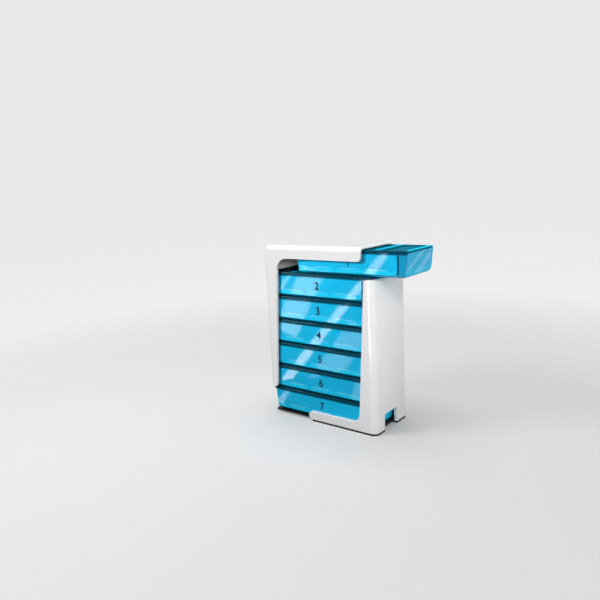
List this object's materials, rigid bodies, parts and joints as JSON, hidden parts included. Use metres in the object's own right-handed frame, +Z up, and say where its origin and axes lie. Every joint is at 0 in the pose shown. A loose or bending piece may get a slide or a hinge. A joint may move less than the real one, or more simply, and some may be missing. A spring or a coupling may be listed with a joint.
{
  "type": "weekly pill drawer organizer",
  "caption": "Upright S-shaped stand holding a stack of shallow lidded pill drawers; the top drawer slides out at the upper right, the bottom one at the lower left.",
  "frame": {"origin": "on the table, under the middle of the stand's footprint", "axes": "+Z up; +Y from front to back, so the labelled drawer faces look to -Y; +X to the right seen from the front, the way the top drawer slides out"},
  "size_m": [0.1209, 0.043, 0.1331],
  "materials": {
    "white_shell": "glossy moulded white plastic",
    "black_base": "matte black plastic",
    "blue_drawer": "glossy translucent cyan-blue plastic",
    "blue_lid": "glossy translucent teal-blue plastic"
  },
  "bodies": {
    "stand": {"back_panel": "white_shell", "base_plate": "black_base", "drawer_2": "blue_drawer", "drawer_2_lid_1": "blue_lid", "drawer_2_lid_2": "blue_lid", "drawer_2_lid_3": "blue_lid", "drawer_2_lid_4": "blue_lid", "drawer_3": "blue_drawer", "drawer_3_lid_1": "blue_lid", "drawer_3_lid_2": "blue_lid", "drawer_3_lid_3": "blue_lid", "drawer_3_lid_4": "blue_lid", "drawer_4": "blue_drawer", "drawer_4_lid_1": "blue_lid", "drawer_4_lid_2": "blue_lid", "drawer_4_lid_3": "blue_lid", "drawer_4_lid_4": "blue_lid", "drawer_5": "blue_drawer", "drawer_5_lid_1": "blue_lid", "drawer_5_lid_2": "blue_lid", "drawer_5_lid_3": "blue_lid", "drawer_5_lid_4": "blue_lid", "drawer_6": "blue_drawer", "drawer_6_lid_1": "blue_lid", "drawer_6_lid_2": "blue_lid", "drawer_6_lid_3": "blue_lid", "drawer_6_lid_4": "blue_lid", "lower_frame": "white_shell", "upper_frame": "white_shell"},
    "top_drawer": {"drawer_1": "blue_drawer", "drawer_1_lid_1": "blue_lid", "drawer_1_lid_2": "blue_lid", "drawer_1_lid_3": "blue_lid", "drawer_1_lid_4": "blue_lid"},
    "bottom_drawer": {"drawer_7": "blue_drawer", "drawer_7_lid_1": "blue_lid", "drawer_7_lid_2": "blue_lid", "drawer_7_lid_3": "blue_lid", "drawer_7_lid_4": "blue_lid"}
  },
  "joints": [
    {"name": "top_drawer_slide", "type": "slide", "parent": "stand", "child": "top_drawer", "axis": [1, 0, 0], "range_m": [-0.0275, 0.0675]},
    {"name": "bottom_drawer_slide", "type": "slide", "parent": "stand", "child": "bottom_drawer", "axis": [-1, 0, 0], "range_m": [0, 0.0945]}
  ]
}
